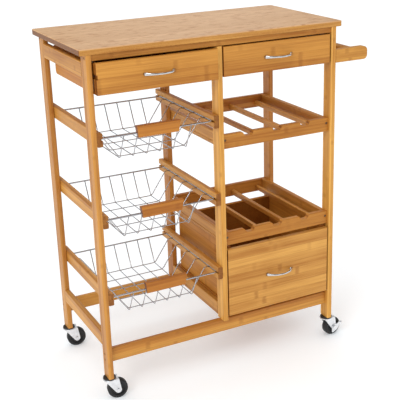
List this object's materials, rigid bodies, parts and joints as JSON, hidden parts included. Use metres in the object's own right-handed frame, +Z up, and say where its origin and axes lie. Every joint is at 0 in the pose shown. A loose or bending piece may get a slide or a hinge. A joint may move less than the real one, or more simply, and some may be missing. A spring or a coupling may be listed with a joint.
{
  "type": "rolling utility cart",
  "caption": "Bamboo kitchen trolley on swivel casters with pull-out wire baskets, drawers, bottle racks and a side towel rail.",
  "frame": {"origin": "centre of the bounding box on the floor plane, under the wheels", "axes": "+Z up; +X along the long side towards the towel rail; the drawer fronts face -Y"},
  "size_m": [0.75, 0.3697, 0.857],
  "materials": {
    "bamboo_top": "satin laminated bamboo board",
    "bamboo_light": "satin bamboo",
    "bamboo_amber": "satin darker bamboo",
    "steel_screws": "plain",
    "steel_wire": "bright plated wire",
    "bright_pull": "bright plated",
    "zinc_plate": "bright zinc",
    "caster_rubber": "matt black",
    "black_plastic": "moulded black"
  },
  "bodies": {
    "frame": {"tabletop": "bamboo_top", "leg_front_left": "bamboo_light", "leg_front_middle": "bamboo_light", "leg_front_right": "bamboo_light", "leg_back_left": "bamboo_light", "leg_back_middle": "bamboo_light", "leg_back_right": "bamboo_light", "rail_top_front": "bamboo_light", "rail_top_back": "bamboo_light", "apron_left": "bamboo_light", "apron_middle": "bamboo_light", "apron_right": "bamboo_light", "rail_lower_left": "bamboo_light", "rail_lower_middle": "bamboo_light", "rail_lower_right": "bamboo_light", "rail_bottom_front": "bamboo_light", "rail_bottom_back": "bamboo_light", "drawer_runners": "bamboo_amber", "basket_runners": "bamboo_light", "rack_upper_front_rail": "bamboo_light", "rack_upper_back_rail": "bamboo_light", "rack_upper_side_boards": "bamboo_light", "rack_upper_slats": "bamboo_light", "rack_lower_front_rail": "bamboo_light", "rack_lower_back_rail": "bamboo_light", "rack_lower_side_boards": "bamboo_light", "rack_lower_slats": "bamboo_light", "towel_arm_front": "bamboo_light", "towel_arm_back": "bamboo_light", "towel_dowel": "bamboo_light", "frame_screws": "steel_screws", "caster_stems": "black_plastic"},
    "drawer_left": {"drawer_left_front": "bamboo_light", "drawer_left_box": "bamboo_amber", "drawer_left_bottom": "bamboo_amber", "drawer_left_pull": "bright_pull"},
    "drawer_right": {"drawer_right_front": "bamboo_light", "drawer_right_box": "bamboo_amber", "drawer_right_bottom": "bamboo_amber", "drawer_right_pull": "bright_pull"},
    "drawer_large": {"drawer_large_front": "bamboo_light", "drawer_large_box": "bamboo_amber", "drawer_large_bottom": "bamboo_amber", "drawer_large_pull": "bright_pull"},
    "basket_1": {"basket_1_wires": "steel_wire", "basket_1_handle": "bamboo_amber"},
    "basket_2": {"basket_2_wires": "steel_wire", "basket_2_handle": "bamboo_amber"},
    "basket_3": {"basket_3_wires": "steel_wire", "basket_3_handle": "bamboo_amber"},
    "caster_fl": {"caster_fl_fork": "zinc_plate"},
    "wheel_fl": {"caster_fl_wheel": "caster_rubber"},
    "caster_bl": {"caster_bl_fork": "zinc_plate"},
    "wheel_bl": {"caster_bl_wheel": "caster_rubber"},
    "caster_fr": {"caster_fr_fork": "zinc_plate"},
    "wheel_fr": {"caster_fr_wheel": "caster_rubber"},
    "brake_fr": {"caster_fr_brake": "zinc_plate"},
    "caster_br": {"caster_br_fork": "zinc_plate"},
    "wheel_br": {"caster_br_wheel": "caster_rubber"},
    "brake_br": {"caster_br_brake": "zinc_plate"}
  },
  "joints": [
    {"name": "drawer_left_slide", "type": "slide", "parent": "frame", "child": "drawer_left", "axis": [0, -1, 0], "range_m": [-0.0142, 0.2]},
    {"name": "drawer_right_slide", "type": "slide", "parent": "frame", "child": "drawer_right", "axis": [0, -1, 0], "range_m": [0, 0.214]},
    {"name": "drawer_large_slide", "type": "slide", "parent": "frame", "child": "drawer_large", "axis": [0, -1, 0], "range_m": [0, 0.214]},
    {"name": "basket_1_slide", "type": "slide", "parent": "frame", "child": "basket_1", "axis": [0, -1, 0], "range_m": [0, 0.24]},
    {"name": "basket_2_slide", "type": "slide", "parent": "frame", "child": "basket_2", "axis": [0, -1, 0], "range_m": [0, 0.24]},
    {"name": "basket_3_slide", "type": "slide", "parent": "frame", "child": "basket_3", "axis": [0, -1, 0], "range_m": [0, 0.24]},
    {"name": "caster_fl_swivel", "type": "hinge", "parent": "frame", "child": "caster_fl", "pos_m": [-0.354, -0.13415, 0.054], "axis": [0, 0, 1], "continuous": true},
    {"name": "caster_fl_roll", "type": "hinge", "parent": "caster_fl", "child": "wheel_fl", "pos_m": [-0.33642, -0.13694, 0.025], "axis": [0.1564, 0.9877, 0], "continuous": true},
    {"name": "caster_bl_swivel", "type": "hinge", "parent": "frame", "child": "caster_bl", "pos_m": [-0.354, 0.16585, 0.054], "axis": [0, 0, 1], "continuous": true},
    {"name": "caster_bl_roll", "type": "hinge", "parent": "caster_bl", "child": "wheel_bl", "pos_m": [-0.3363, 0.16399, 0.025], "axis": [0.1045, 0.9945, 0], "continuous": true},
    {"name": "caster_fr_swivel", "type": "hinge", "parent": "frame", "child": "caster_fr", "pos_m": [0.274, -0.13415, 0.054], "axis": [0, 0, 1], "continuous": true},
    {"name": "caster_fr_roll", "type": "hinge", "parent": "caster_fr", "child": "wheel_fr", "pos_m": [0.29173, -0.1326, 0.025], "axis": [-0.0872, 0.9962, 0], "continuous": true},
    {"name": "caster_fr_brake_pedal", "type": "hinge", "parent": "caster_fr", "child": "brake_fr", "pos_m": [0.29173, -0.1326, 0.025], "axis": [-0.0872, 0.9962, 0], "range_deg": [0, 14]},
    {"name": "caster_br_swivel", "type": "hinge", "parent": "frame", "child": "caster_br", "pos_m": [0.274, 0.16585, 0.054], "axis": [0, 0, 1], "continuous": true},
    {"name": "caster_br_roll", "type": "hinge", "parent": "caster_br", "child": "wheel_br", "pos_m": [0.2918, 0.16585, 0.025], "axis": [0, 1, 0], "continuous": true},
    {"name": "caster_br_brake_pedal", "type": "hinge", "parent": "caster_br", "child": "brake_br", "pos_m": [0.2918, 0.16585, 0.025], "axis": [0, 1, 0], "range_deg": [0, 14]}
  ]
}
